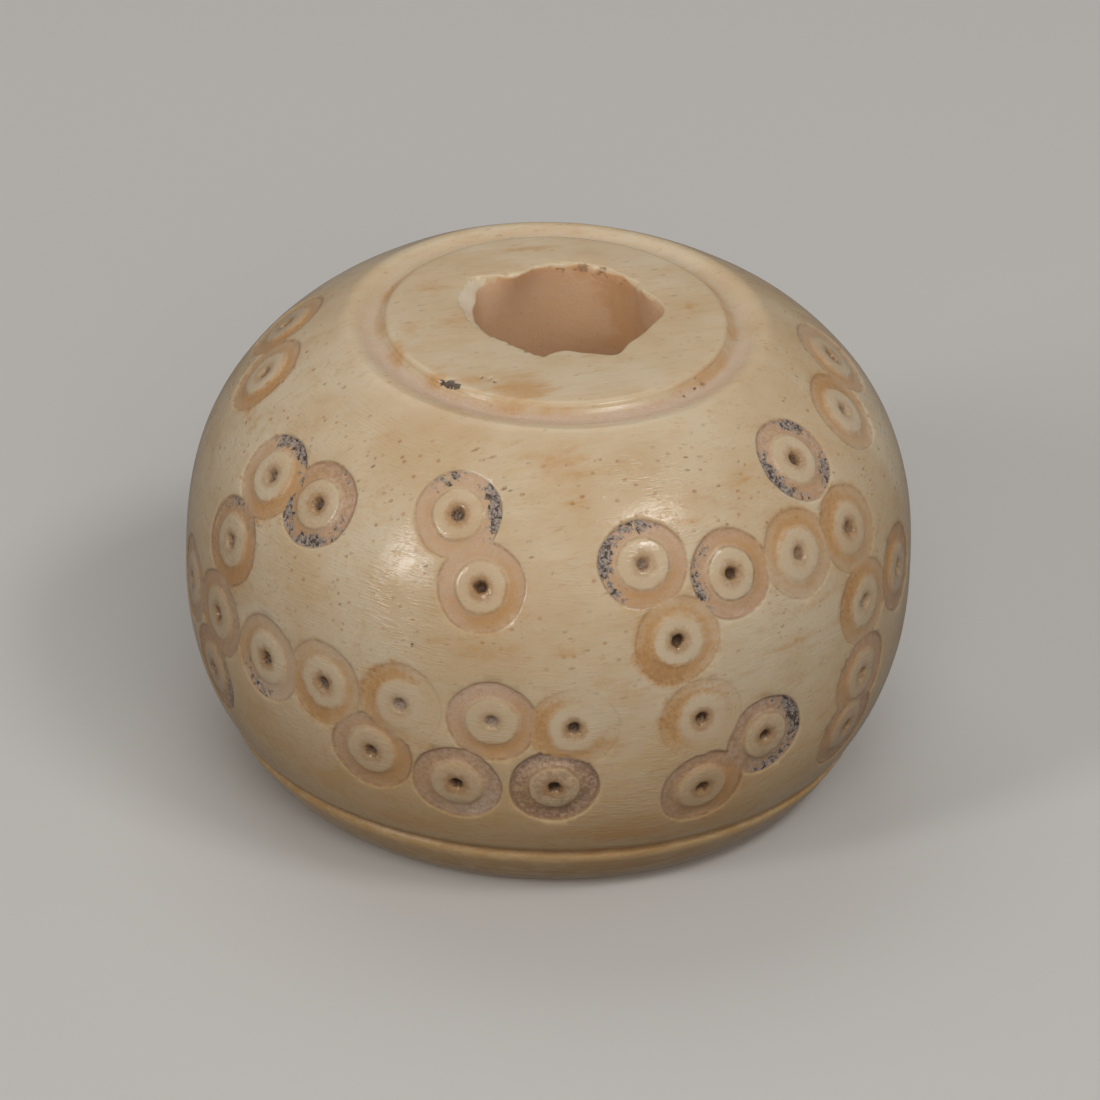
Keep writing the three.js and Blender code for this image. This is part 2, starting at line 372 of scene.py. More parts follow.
# Dark specks: place, size and how dark. The mesh is finer over a few times that size.
SPECK_REACH = 2
SPECKS = [
    (place_on_top(-3.7, -4.82, 0.13), 0.26, 1.0),
    (place_on_top(-3.42, -4.97, 0.13), 0.15, 1.0),
    (place_on_top(-3.98, -4.66, 0.16), 0.14, 1.0),
    (place_on_top(-2.1, -4.75), 0.09, 0.7),
    (place_on_top(-2.3, -4.6), 0.1, 0.7),
    (place_on_top(-2.6, -4.5), 0.09, 0.65),
    (place_on_top(4.99, -3.98, 0.5), 0.1, 0.7),
    (place_on_top(5.27, -3.61, 0.5), 0.13, 0.75),
    (place_on_top(4.64, -4.51, 0.5), 0.1, 0.65),
    (place_on_side(-21.5, 50.6), 0.1, 0.7),
    (place_on_side(43.5, 85.9), 0.09, 0.7),
]


def smooth_step(low, high, values):
    """0 below low, 1 above high, and smooth between."""
    share = np.clip((values - low) / (high - low), 0, 1)
    return share * share * (3 - 2 * share)


def bell(values, width):
    """1 at 0, falling off to either side over a width."""
    return np.exp(-((values / width) ** 2))


def toward(degrees, side, spread):
    """1 towards one side of a circle, falling off over a spread to either side of it."""
    return bell((degrees - side + 180) % 360 - 180, spread)


def arc_points(curve, rows):
    """Points of a curve that is given by its start, the corner that it bends towards and its end."""
    start, corner, end = curve
    return [
        tuple(
            (1 - share) ** 2 * start[axis] + 2 * share * (1 - share) * corner[axis] + share ** 2 * end[axis]
            for axis in (0, 1)
        )
        for share in np.linspace(0, 1, rows + 1)
    ]


def turned_profile():
    """The blank's closed outline as radius and height: base, band, side, lip, moat, disc and bore."""
    base = [(radius, 0) for radius in np.linspace(BORE_RADIUS, BASE_RADIUS, BASE_ROWS + 1)]
    side_lengths = np.linspace(0, SIDE_LENGTH, round(SIDE_LENGTH / SIDE_STEP) + 1)
    side = list(zip(
        np.interp(side_lengths, SIDE_LENGTHS, SIDE_RADII),
        np.interp(side_lengths, SIDE_LENGTHS, SIDE_HEIGHTS),
    ))
    disc_start = DISC_EDGE_CURVE[-1][0]
    disc_end = RIM_CURVE[0][0]
    disc = [
        (disc_end + (disc_start - disc_end) * share, DISC_HEIGHT - DISC_FALL * share ** 2)
        for share in np.linspace(1, 0, DISC_ROWS) ** DISC_CROWDING
    ]
    wall_top = RIM_CURVE[-1][1]
    wall_shares = np.linspace(0, 1, BORE_ROWS + 1)[1:-1] ** BORE_CROWDING
    wall = [(BORE_RADIUS, wall_top * (1 - share)) for share in wall_shares]
    return (
        base[:-1]
        + arc_points(BAND_CURVE, BAND_ROWS)
        + GROOVE_POINTS
        + side
        + arc_points(LIP_CURVE, LIP_ROWS)[1:]
        + arc_points(MOAT_CURVE, MOAT_ROWS)
        + arc_points(DISC_EDGE_CURVE, DISC_EDGE_ROWS)
        + disc[1:-1]
        + arc_points(RIM_CURVE, RIM_ROWS)
        + wall
    )


def spun_blank():
    """The blank, spun once round from its outline."""
    blank = bmesh.new()
    outline = [blank.verts.new((0, -radius, height)) for radius, height in turned_profile()]
    edges = [
        blank.edges.new((outline[index - 1], outline[index]))
        for index in range(len(outline))
    ]
    bmesh.ops.spin(
        blank,
        geom=outline + edges,
        cent=(0, 0, 0),
        axis=(0, 0, 1),
        angle=2 * math.pi,
        steps=TURN_STEPS,
        use_merge=True,
    )
    bmesh.ops.recalc_face_normals(blank, faces=blank.faces)
    return blank


def ring_coordinates(ring, points):
    """Distance from the ring's centre and direction round it, measured flat on the surface.

    The distance wavers a little with the direction, as the bit did in the hand.
    """
    centre, across, upward, outward = place_on_side(ring.azimuth, ring.climb)
    offset = points - centre
    right = offset @ across
    up = offset @ upward
    distance = np.hypot(right, up)
    turn = np.arctan2(up, right)
    waver = sum(
        reach * np.sin(waves * turn + shift * ring.azimuth) for reach, waves, shift in WAVERS
    )
    distance = distance + waver * np.minimum(distance / RING_RADIUS, 1)
    distance = np.where(np.abs(offset @ outward) > RING_GRASP, FAR, distance)
    return distance, np.degrees(turn)


def near_cuts(points, rings):
    """Which points lie close enough to a cut to need a finer mesh."""
    near = np.zeros(len(points), bool)
    for ring in rings:
        distance, _ = ring_coordinates(ring, points)
        near |= np.abs(distance - RING_RADIUS) < OUTER_WALL / 2 + REFINED_MARGIN
        near |= np.abs(distance - EYE_RADIUS) < EYE_WALL / 2 + REFINED_MARGIN / 2
        near |= distance < DOT_RADIUS + REFINED_MARGIN
    for place, size, _ in SPECKS:
        near |= np.linalg.norm(points - place[0], axis=1) < SPECK_REACH * size + REFINED_MARGIN
    return near


def refine(blank, rings):
    """Halves the blank's edges along every ring and dot, and halves them again closer in."""
    for _ in range(REFINEMENTS):
        edges = list(blank.edges)
        middles = np.array([(edge.verts[0].co + edge.verts[1].co) / 2 for edge in edges])
        chosen = near_cuts(middles, rings)
        bmesh.ops.subdivide_edges(
            blank,
            edges=[edge for edge, near in zip(edges, chosen) if near],
            cuts=1,
            use_grid_fill=True,
        )


# Wear of the bore's edge: direction, spread in degrees, and reach outwards as a share of its radius
RIM_WEAR = (
    (148, 12, 0.14), (124, 14, -0.09), (76, 16, 0.04), (27, 8, -0.03), (3, 14, 0.105), (-59, 10, 0.14),
    (-88, 9, -0.075), (-104, 8, 0.085), (-128, 10, -0.035), (172, 9, 0.03), (112, 3, 0.02), (96, 3, -0.015),
    (52, 3, 0.015), (35, 2.5, -0.015), (-122, 2.5, 0.015), (-140, 2.5, 0.015), (-160, 3, -0.015),
    (190, 2.5, 0.02),
)

# The disc is drawn along with the bore up to this radius, and lies still beyond it.
DISC_STILL_RADIUS = DISC_RADIUS - 0.6


def worn_bore_radius(degrees):
    """How far the bore's worn edge lies from its centre, at an angle in degrees from +X."""
    share = np.ones_like(degrees)
    for direction, spread, reach in RIM_WEAR:
        share += reach * toward(degrees, direction, spread)
    return BORE_RADIUS * share


def around_bore(points):
    """Distance from the bore's own centre, and the direction from it in degrees from +X."""
    right = points[:, 0] - BORE_CENTRE[0]
    away = points[:, 1] - BORE_CENTRE[1]
    return np.hypot(right, away), np.degrees(np.arctan2(away, right))


def wear_bore(points):
    """Carries the bore to its place off the axis and wears its upper wall, drawing the disc along."""
    radius = np.hypot(points[:, 0], points[:, 1])
    degrees = np.degrees(np.arctan2(points[:, 1], points[:, 0]))
    pull = 1 - smooth_step(BORE_RADIUS, DISC_STILL_RADIUS, radius)
    wear = np.clip(1 + (points[:, 2] - DISC_HEIGHT) / BORE_WORN_DEPTH, 0, 1) ** 2
    growth = wear * (worn_bore_radius(degrees) / BORE_RADIUS - 1)
    moved = points.copy()
    for axis in (0, 1):
        rim = points[:, axis] / radius * BORE_RADIUS
        moved[:, axis] += pull * (BORE_CENTRE[axis] + rim * growth)
    return moved


# Chips broken off the rim: direction, half width in degrees, reach outwards and drop
RIM_CHIPS = (
    (170, 28, 0.6, 0.36), (196, 17, 0.4, 0.28), (213, 12, 0.26, 0.2), (227, 10, 0.22, 0.18),
    (241, 8, 0.2, 0.16), (253, 6, 0.14, 0.12), (206, 4, 0.34, 0.22), (219, 3, 0.3, 0.2),
    (234, 3.5, 0.34, 0.2), (247, 3, 0.28, 0.18), (259, 3, 0.22, 0.14), (63, 7, 0.16, 0.08),
    (38, 8, 0.2, 0.1), (92, 6, 0.14, 0.08), (20, 6, 0.12, 0.08), (130, 7, 0.14, 0.08),
)
CHIPPED_DEPTH = 1.4
THINNEST_CHIP = 1e-3


def chip_rim(points):
    """How far the rim's chips lower every point."""
    distance, degrees = around_bore(points)
    outside = np.maximum(distance - worn_bore_radius(degrees), 0)
    lowered = np.zeros(len(points))
    for direction, half_width, reach, drop in RIM_CHIPS:
        away = ((degrees - direction + 180) % 360 - 180) / half_width
        edge = np.maximum(reach * np.clip(1 - away ** 2, 0, 1), THINNEST_CHIP)
        lowered = np.maximum(lowered, drop * np.clip(1 - outside / edge, 0, 1))
    upper = np.clip(1 - (DISC_HEIGHT - points[:, 2]) / CHIPPED_DEPTH, 0, 1)
    return lowered * upper


# How far the marks of a ring spread round it, in degrees, and the least share of its stain on any side
FADE_SPREAD = 75
STAIN_SPREAD = 75
CHALK_AND_GLINT_SPREAD = 60
LEAST_STAIN = 0.4


def ring_traces(ring, degrees):
    """What one ring shows towards every direction round it."""
    crust = np.zeros_like(degrees)
    for direction, spread, amount in ring.crusts:
        crust = np.maximum(crust, amount * toward(degrees, direction, spread))
    kept = np.ones_like(degrees)
    if ring.faded_side is not None:
        kept -= toward(degrees, ring.faded_side, FADE_SPREAD)
    stain_share = LEAST_STAIN + (1 - LEAST_STAIN) * toward(degrees, ring.stain_side, STAIN_SPREAD)
    return {
        "depth": ring.depth * kept,
        "tan": ring.tan * kept,
        "brown": ring.brown * kept,
        "stain": ring.stain * stain_share * kept,
        "crust": crust,
        "chalk_and_glint": ring.chalk_and_glint * toward(degrees, ring.chalk_and_glint_side, CHALK_AND_GLINT_SPREAD),
        "gloss": ring.gloss,
        "dot": ring.dot,
        "fill": ring.fill,
        "inner_line": ring.inner_line,
    }


def nearest_ring_marks(points, rings):
    """Every point's distance from the nearest ring's centre, and what that ring shows there."""
    marks = {"ring_away": np.full(len(points), FAR)}
    for ring in rings:
        distance, degrees = ring_coordinates(ring, points)
        nearer = np.flatnonzero(distance < np.minimum(marks["ring_away"], 2 * RING_RADIUS))
        marks["ring_away"][nearer] = distance[nearer]
        for name, values in ring_traces(ring, degrees[nearer]).items():
            if name not in marks:
                marks[name] = np.zeros(len(points))
            marks[name][nearer] = values
    return marks


def cut_depth(marks):
    """How deep the rings and dots go at every point."""
    away = marks["ring_away"]
    inside_outer = 1 - smooth_step(RING_RADIUS - OUTER_WALL / 2, RING_RADIUS + OUTER_WALL / 2, away)
    outside_eye = smooth_step(EYE_RADIUS - EYE_WALL / 2, EYE_RADIUS + EYE_WALL / 2, away)
    groove = RING_DEPTH * marks["depth"] * inside_outer * outside_eye
    line = EYE_LINE_DEPTH * bell(away - EYE_LINE_RADIUS, EYE_LINE_WIDTH) * marks["inner_line"]
    dot = DOT_DEPTH * (1 - smooth_step(DOT_FLOOR_RADIUS, DOT_RADIUS, away))
    return np.maximum(groove + line, dot)


def soaked(points):
    """How strong the stains are at every point."""
    stain = np.zeros(len(points))
    for smudge in SMUDGES:
        centre, across, upward, _ = smudge.place
        offset = points - centre
        spread = ((offset @ across) / smudge.across) ** 2 + ((offset @ upward) / smudge.up) ** 2
        near = np.linalg.norm(offset, axis=1) < SMUDGE_REACH * smudge.across
        stain[near] = np.maximum(stain[near], smudge.amount * np.exp(-spread[near]))
    return stain


def speckled(points):
    """How dark the specks are at every point."""
    speck = np.zeros(len(points))
    for place, size, amount in SPECKS:
        distance = np.linalg.norm(points - place[0], axis=1)
        speck = np.maximum(speck, amount * bell(distance, size))
    return speck


def way_up(points):
    """How far along the turned outline every point lies, from the foot over the lip to the bore."""
    inwards = np.maximum(LIP_RADIUS - np.hypot(points[:, 0], points[:, 1]), 0)
    return np.interp(points[:, 2], SIDE_HEIGHTS, SIDE_LENGTHS) + inwards


# What hand turning and long wear leave uneven on the side: how far, and how often to a millimetre
WOBBLES = ((0.05, 0.11), (0.014, 0.5))
WOBBLE_LOWEST = 0.3
WOBBLE_INNERMOST = DISC_RADIUS + 0.5

# Specks are shallow pits.
SPECK_DEPTH = 0.05

# The bore's wall and a hair of the faces next to it
BORE_WALL_RADIUS = BORE_RADIUS + 0.02

# Crumbs of dirt along the bore's back edge, and fresh bone in the chips at its front left
CRUMB_SIDE = 80
CRUMB_SIDE_SPREAD = 60
CRUMB_REACH = 0.35
FRESH_SIDE = 210
FRESH_SIDE_SPREAD = 75


def hand_wobble(points):
    """The small unevenness of the side, in millimetres outwards."""
    radius = np.hypot(points[:, 0], points[:, 1])
    on_the_side = (points[:, 2] > WOBBLE_LOWEST) & (radius > WOBBLE_INNERMOST)
    wobble = np.array([
        sum(reach * noise.noise(Vector(point) * rate) for reach, rate in WOBBLES)
        for point in points
    ])
    return np.where(on_the_side, wobble, 0)


def vertex_vectors(mesh, name):
    """One vector of every vertex, row by row: its place or its normal."""
    values = np.empty(len(mesh.vertices) * 3)
    mesh.vertices.foreach_get(name, values)
    return values.reshape(-1, 3)


def blank_marks(points, rings):
    """What every point of the uncut blank is going to show."""
    marks = nearest_ring_marks(points, rings)
    marks["smudge"] = soaked(points)
    marks["speck"] = speckled(points)
    marks["way_up"] = way_up(points)
    marks["bore"] = np.where(np.hypot(points[:, 0], points[:, 1]) < BORE_WALL_RADIUS, 1.0, 0)
    return marks


def rim_marks(points, bore, lowered):
    """What the worn rim shows: crumbs along its back edge, and fresh bone where chips have lowered it."""
    distance, degrees = around_bore(points)
    height = points[:, 2]
    near_edge = bell(distance - worn_bore_radius(degrees), CRUMB_REACH)
    at_back = toward(degrees, CRUMB_SIDE, CRUMB_SIDE_SPREAD)
    at_left = toward(degrees, FRESH_SIDE, FRESH_SIDE_SPREAD)
    chipped = smooth_step(0.01, 0.08, lowered) * smooth_step(DISC_HEIGHT - 0.8, DISC_HEIGHT - 0.4, height)
    return {
        "crumbs": near_edge * at_back * smooth_step(DISC_HEIGHT - 0.3, DISC_HEIGHT - 0.08, height),
        "fresh": chipped * at_left * (1 - bore),
    }


def whorl_mesh(rings):
    """The finished mesh, with its marks as attributes."""
    blank = spun_blank()
    refine(blank, rings)
    mesh = bpy.data.meshes.new("bone_whorl")
    blank.to_mesh(mesh)
    blank.free()
    points = vertex_vectors(mesh, "co")
    normals = vertex_vectors(mesh, "normal")
    marks = blank_marks(points, rings)
    outward = hand_wobble(points) - cut_depth(marks) - SPECK_DEPTH * marks["speck"]
    points = wear_bore(points + normals * outward[:, None])
    lowered = chip_rim(points)
    marks.update(rim_marks(points, marks["bore"], lowered))
    points[:, 2] -= lowered
    mesh.vertices.foreach_set("co", (points * MM).ravel())
    del marks["depth"]
    for name, values in marks.items():
        attribute = mesh.attributes.new(name, "FLOAT", "POINT")
        attribute.data.foreach_set("value", values)
    mesh.update()
    mesh.shade_smooth()
    print("bone_whorl has", sum(len(polygon.vertices) - 2 for polygon in mesh.polygons), "triangles")
    return mesh


class Field:
    """A number that varies over the surface. Arithmetic on it adds Math nodes."""

    def __init__(self, shader, socket):
        self.shader = shader
        self.socket = socket

    def _math(self, operation, first, second):
        return self.shader.node(
            "ShaderNodeMath", {"operation": operation}, {0: first, 1: second}
        ).out("Value")

    def __add__(self, other):
        return self._math("ADD", self, other)

    def __radd__(self, other):
        return self._math("ADD", other, self)

    def __sub__(self, other):
        return self._math("SUBTRACT", self, other)

    def __rsub__(self, other):
        return self._math("SUBTRACT", other, self)

    def __mul__(self, other):
        return self._math("MULTIPLY", self, other)

    def __rmul__(self, other):
        return self._math("MULTIPLY", other, self)

    def __pow__(self, other):
        return self._math("POWER", self, other)

    def at_most(self, other):
        return self._math("MINIMUM", self, other)

    def swing(self, amount):
        """A pattern that runs from 0 to 1, as a swing to either side of 0."""
        return (self - 0.5) * amount


class Step:
    """A node of the shader, with its outputs read by name."""

    def __init__(self, shader, node):
        self.shader = shader
        self.node = node

    def out(self, name):
        return Field(self.shader, self.node.outputs[name])


# The way that the bone's grain runs, turned a little from the X axis
GRAIN_TURN = (0, -0.1, 0.3)


class Shader:
    """A material's node tree, built by expressions."""

    def __init__(self, name):
        self.material = bpy.data.materials.new(name)
        self.material.use_nodes = True
        self.tree = self.material.node_tree
        self.tree.nodes.clear()

    def node(self, kind, settings=None, inputs=None):
        """Adds a node: its settings first, then the values or links of its sockets."""
        node = self.tree.nodes.new(kind)
        for name, value in (settings or {}).items():
            setattr(node, name, value)
        for name, value in (inputs or {}).items():
            if isinstance(value, Field):
                self.tree.links.new(value.socket, node.inputs[name])
            else:
                node.inputs[name].default_value = value
        return Step(self, node)

    def attribute(self, name):
        return self.node("ShaderNodeAttribute", {"attribute_name": name}).out("Fac")

    def mix(self, share, first, second):
        """A colour between two others."""
        step = self.node("ShaderNodeMix", {"data_type": "RGBA"}, {0: share, 6: first, 7: second})
        return Field(self, step.node.outputs[2])

    def ramp(self, value, low, high):
        """0 below low, 1 above high, and smooth between."""
        return self.node(
            "ShaderNodeMapRange",
            {"interpolation_type": "SMOOTHSTEP"},
            {"Value": value, "From Min": low, "From Max": high},
        ).out("Result")

    def band(self, value, stops):
        """0 up to the first of four stops, 1 between the middle two, and 0 again from the last."""
        low, rise, fall, high = stops
        return self.ramp(value, low, rise) * self.ramp(value, high, fall)

    def noise(self, place, size, detail, roughness=0.55):
        """Noise with features of about a size in millimetres."""
        return self.node(
            "ShaderNodeTexNoise",
            inputs={"Vector": place, "Scale": 1 / (size * MM), "Detail": detail, "Roughness": roughness},
        ).out("Fac")

    def drawn_out(self, place, sizes):
        """Coordinates that turn with the bone's grain, in steps of three sizes in millimetres."""
        return self.node(
            "ShaderNodeMapping",
            {"vector_type": "TEXTURE"},
            {"Vector": place, "Rotation": GRAIN_TURN, "Scale": [size * MM for size in sizes]},
        ).out("Vector")

    def grain_noise(self, place, sizes, detail, roughness=0.55):
        """Noise that is drawn out along the grain."""
        return self.node(
            "ShaderNodeTexNoise",
            inputs={
                "Vector": self.drawn_out(place, sizes),
                "Scale": 1.0,
                "Detail": detail,
                "Roughness": roughness,
            },
        ).out("Fac")

    def pores(self, place, sizes, reach, chosen):
        """Scattered spots, drawn out along the grain, where the bone's fine canals come out."""
        cells = self.node(
            "ShaderNodeTexVoronoi",
            {"feature": "F1"},
            {"Vector": self.drawn_out(place, sizes), "Scale": 1.0},
        )
        spots = self.ramp(cells.out("Distance"), reach, reach * 0.5)
        chance = self.node("ShaderNodeSeparateColor", inputs={"Color": cells.out("Color")}).out("Red")
        return spots * self.ramp(chance, chosen, chosen + 0.02)


# Colours of the bone and of what lies in its cuts
CREAM = (0.68, 0.505, 0.31, 1)
PALE_CREAM = (0.77, 0.64, 0.46, 1)
HONEY = (0.63, 0.41, 0.2, 1)
EYE_PALE = (0.72, 0.57, 0.41, 1)
GROOVE_TAN = (0.62, 0.4, 0.235, 1)
GROOVE_PINK = (0.68, 0.48, 0.355, 1)
GROOVE_BROWN = (0.38, 0.235, 0.15, 1)
LINE_BROWN = (0.3, 0.17, 0.085, 1)
ORANGE_TAN = (0.63, 0.35, 0.135, 1)
RUST = (0.42, 0.19, 0.065, 1)
# Pale pink of chalk, which on some rings also paints a highlight on the lower lip
CHALK_AND_GLINT_PINK = (0.76, 0.62, 0.52, 1)
CRUST_PALE = (0.5, 0.43, 0.38, 1)
CRUST_GREY = (0.2, 0.175, 0.165, 1)
CRUST_BLACK = (0.04, 0.033, 0.032, 1)
DOT_HALO = (0.42, 0.22, 0.09, 1)
DOT_BROWN = (0.095, 0.048, 0.026, 1)
DOT_GREY = (0.6, 0.5, 0.43, 1)
FLECK_BROWN = (0.24, 0.15, 0.08, 1)
BORE_TAN = (0.72, 0.46, 0.28, 1)
FRESH_CREAM = (0.88, 0.79, 0.62, 1)
FOOT_BROWN = (0.44, 0.235, 0.08, 1)

# Bands across a ring by the distance from its centre: where each starts, is full, thins and ends
FLOOR_BAND = (EYE_RADIUS - 0.14, EYE_RADIUS + 0.16, RING_RADIUS - 0.08, RING_RADIUS + 0.05)
OUTLINE_BAND = (RING_RADIUS - 0.09, RING_RADIUS - 0.03, RING_RADIUS, RING_RADIUS + 0.06)
EYE_FOOT_BAND = (EYE_RADIUS - 0.25, EYE_RADIUS, EYE_RADIUS + 0.1, EYE_RADIUS + 0.4)
HALO_BAND = (EYE_RADIUS - 0.05, EYE_RADIUS + 0.25, RING_RADIUS - 0.15, RING_RADIUS + 0.4)
SECOND_LINE_BAND = (EYE_RADIUS - 0.12, EYE_RADIUS - 0.05, EYE_RADIUS - 0.02, EYE_RADIUS + 0.05)
CRUST_BAND = (EYE_RADIUS, RING_RADIUS - 0.25, RING_RADIUS, RING_RADIUS + 0.1)

# Bands of the turned body, the moat's by radius and the foot's by height
MOAT_BAND = (DISC_RADIUS, MOAT_RADIUS - 0.05, MOAT_RADIUS + 0.3, LIP_RADIUS - 0.2)
MOAT_WALL_BAND = (DISC_RADIUS - 0.15, DISC_RADIUS + 0.05, MOAT_RADIUS - 0.1, MOAT_RADIUS + 0.15)
FOOT_BAND = (BAND_HEIGHT - 0.35, BAND_HEIGHT, BAND_HEIGHT + 0.2, BAND_HEIGHT + 0.6)
LOW_SIDE_BAND = (0.02, 0.3, 0.6, 2.4)

# Relief that is too fine for the mesh, in millimetres
SCRATCH_DEPTH = 0.009
GRAIN_DEPTH = 0.003
CUT_GRAIN_DEPTH = 0.02


class Bone(Shader):
    """The bone's shader: the patterns and masks that its marks share, and the colour that they build up."""

    def __init__(self):
        super().__init__("bone")
        self.place = self.node("ShaderNodeTexCoord").out("Object")
        parts = self.node("ShaderNodeSeparateXYZ", inputs={"Vector": self.place})
        self.right, self.away, self.height = (parts.out(axis) * (1 / MM) for axis in "XYZ")
        self.radius = (self.right * self.right + self.away * self.away) ** 0.5
        self.blotches = self.noise(self.place, 0.35, 4, 0.6)
        self.mottle = self.noise(self.place, 0.16, 2, 0.6)
        self.specks = self.noise(self.place, 0.09, 3, 0.65)
        self.drift = self.noise(self.place, 2.2, 3)
        self.streaks = self.grain_noise(self.place, (1.6, 0.35, 0.3), 5, 0.65)
        self.tan = self.attribute("tan")
        self.brown = self.attribute("brown")
        self.bore = self.attribute("bore")
        self.ring_away = self.attribute("ring_away") + self.blotches.swing(0.07)
        self.floor = self.band(self.ring_away, FLOOR_BAND)
        self.eye = self.ramp(self.ring_away, EYE_RADIUS + 0.08, EYE_RADIUS - 0.25)
        self.top = self.ramp(self.height, MOAT_HEIGHT - 0.6, MOAT_HEIGHT - 0.1)
        self.moat = self.band(self.radius, MOAT_BAND) * self.top
        self.colour = None

    def paint(self, share, colour):
        """Lays a colour over what is there, which a share of 1 covers."""
        self.colour = self.mix(share, self.colour, colour)

    def paint_ground(self):
        """Cream bone, yellower in streaks, darker and yellower low down as a painted warm shade, with the
        stains that have soaked in.
        """
        self.colour = self.mix(self.ramp(self.noise(self.place, 5, 4), 0.3, 0.68), CREAM, PALE_CREAM)
        clouds = self.grain_noise(self.place, (4, 1.6, 1.2), 5, 0.62)
        weave = self.grain_noise(self.place, (0.4, 0.1, 0.1), 4, 0.7)
        honey = self.ramp(clouds, 0.44, 0.76) * 0.45
        honey = honey + self.ramp(self.streaks, 0.52, 0.7) * 0.3
        # Painted warm shade: the side turns darker and yellower towards the foot
        honey = honey + self.ramp(self.height, 10, 3) * 0.75
        honey = honey + self.ramp(weave, 0.5, 0.75) * 0.2
        self.paint(honey.at_most(1), HONEY)
        smudge = self.attribute("smudge")
        uneven = smudge * 1.2 + self.streaks.swing(1.2) + self.blotches.swing(0.6)
        self.paint(self.ramp(uneven, 0.1, 1.0) * self.ramp(smudge, 0, 0.2) * 0.75, ORANGE_TAN)

    def paint_rings(self):
        """The rings' eyes and floors, the stains round them and the fine lines along their edges."""
        grains = self.ramp(self.blotches * 0.5 + self.mottle * 0.7, 0.48, 0.72)
        self.paint(self.eye * 0.32, EYE_PALE)
        self.paint(self.floor * self.tan, self.mix(grains, GROOVE_TAN, GROOVE_PINK))
        self.paint((self.floor + self.eye * 0.5) * self.brown * (1.4 - 1.1 * grains), GROOVE_BROWN)

        stain = self.attribute("stain")
        eye_foot = self.band(self.ring_away, EYE_FOOT_BAND)
        halo = self.band(self.ring_away, HALO_BAND)
        orange = stain * (eye_foot * 0.65 + halo * 0.75)
        orange = orange + self.streaks.swing(0.5) + self.blotches.swing(0.5) + self.mottle.swing(0.6)
        orange = self.ramp(orange, 0.05, 0.7) * self.ramp(stain * (eye_foot + halo), 0.02, 0.3)
        self.paint(orange * 0.8, ORANGE_TAN)
        self.paint(self.ramp(orange * stain + self.mottle.swing(1.2), 0.6, 1.1) * 0.4, RUST)

        dark_grains = self.ramp(self.specks + self.mottle.swing(0.5), 0.62, 0.75)
        self.paint(self.floor * dark_grains * 0.35, LINE_BROWN)
        # Pale pink towards one side of the floor: partly chalk, partly a painted highlight on the groove's
        # lower lip
        chalk_and_glint = self.attribute("chalk_and_glint")
        self.paint(chalk_and_glint * self.floor * self.ramp(self.specks, 0.35, 0.6), CHALK_AND_GLINT_PINK)
        outline = self.band(self.ring_away, OUTLINE_BAND) * (0.1 + 0.4 * self.tan + 0.3 * self.brown)
        second_line = self.band(self.ring_away, SECOND_LINE_BAND)
        second_line = second_line * (0.15 + self.attribute("inner_line") * 0.5) * self.tan
        self.paint((outline + second_line) * self.ramp(self.blotches, 0.25, 0.6), LINE_BROWN)

    def paint_crust(self):
        """Black dirt in the rings. Gives back how far it covers the bone."""
        crust = self.attribute("crust")
        soot = self.noise(self.place, 0.22, 2, 0.6)
        outer_floor = self.band(self.ring_away, CRUST_BAND)
        deposit = crust * (0.25 + 0.75 * outer_floor) * self.ramp(self.floor, 0.1, 0.6)
        deposit = deposit + soot.swing(1.9) + self.specks.swing(0.8)
        deposit = deposit * self.ramp(crust * self.floor, 0.04, 0.2)
        cover = self.ramp(deposit, 0.32, 0.7)
        crust_colour = self.mix(self.ramp(self.specks, 0.4, 0.62), CRUST_GREY, CRUST_PALE)
        crust_colour = self.mix(self.ramp(self.mottle, 0.5, 0.6), crust_colour, CRUST_BLACK)
        self.paint(cover * 0.9, crust_colour)
        return cover

    def paint_dots(self):
        """The drilled dots with a dark halo, some filled with dust. Gives back where the pits are."""
        dot = self.attribute("dot")
        dot_away = self.ring_away + self.specks.swing(0.3) + self.blotches.swing(0.3)
        pit = self.ramp(dot_away, 0.31, 0.13)
        self.paint(self.ramp(dot_away, 0.62, 0.3) * dot * 0.75, DOT_HALO)
        self.paint(pit * dot, DOT_BROWN)
        filled = self.ramp(dot_away, 0.27, 0.14) * self.attribute("fill")
        self.paint(filled * self.ramp(self.specks, 0.4, 0.6), DOT_GREY)
        return pit

    def paint_moat(self):
        """Pink and orange dirt in the moat, most of it at the front."""
        front = self.ramp(self.away, 3, -5)
        wall = self.band(self.radius, MOAT_WALL_BAND) * self.top
        self.paint(self.moat * (0.2 + 0.8 * front) * (0.35 + 0.6 * self.blotches), GROOVE_PINK)
        self.paint(wall * self.ramp(self.drift, 0.4, 0.6) * 0.7, ORANGE_TAN)
        self.paint(self.moat * front * self.ramp(self.specks, 0.5, 0.65) * 0.5, CHALK_AND_GLINT_PINK)

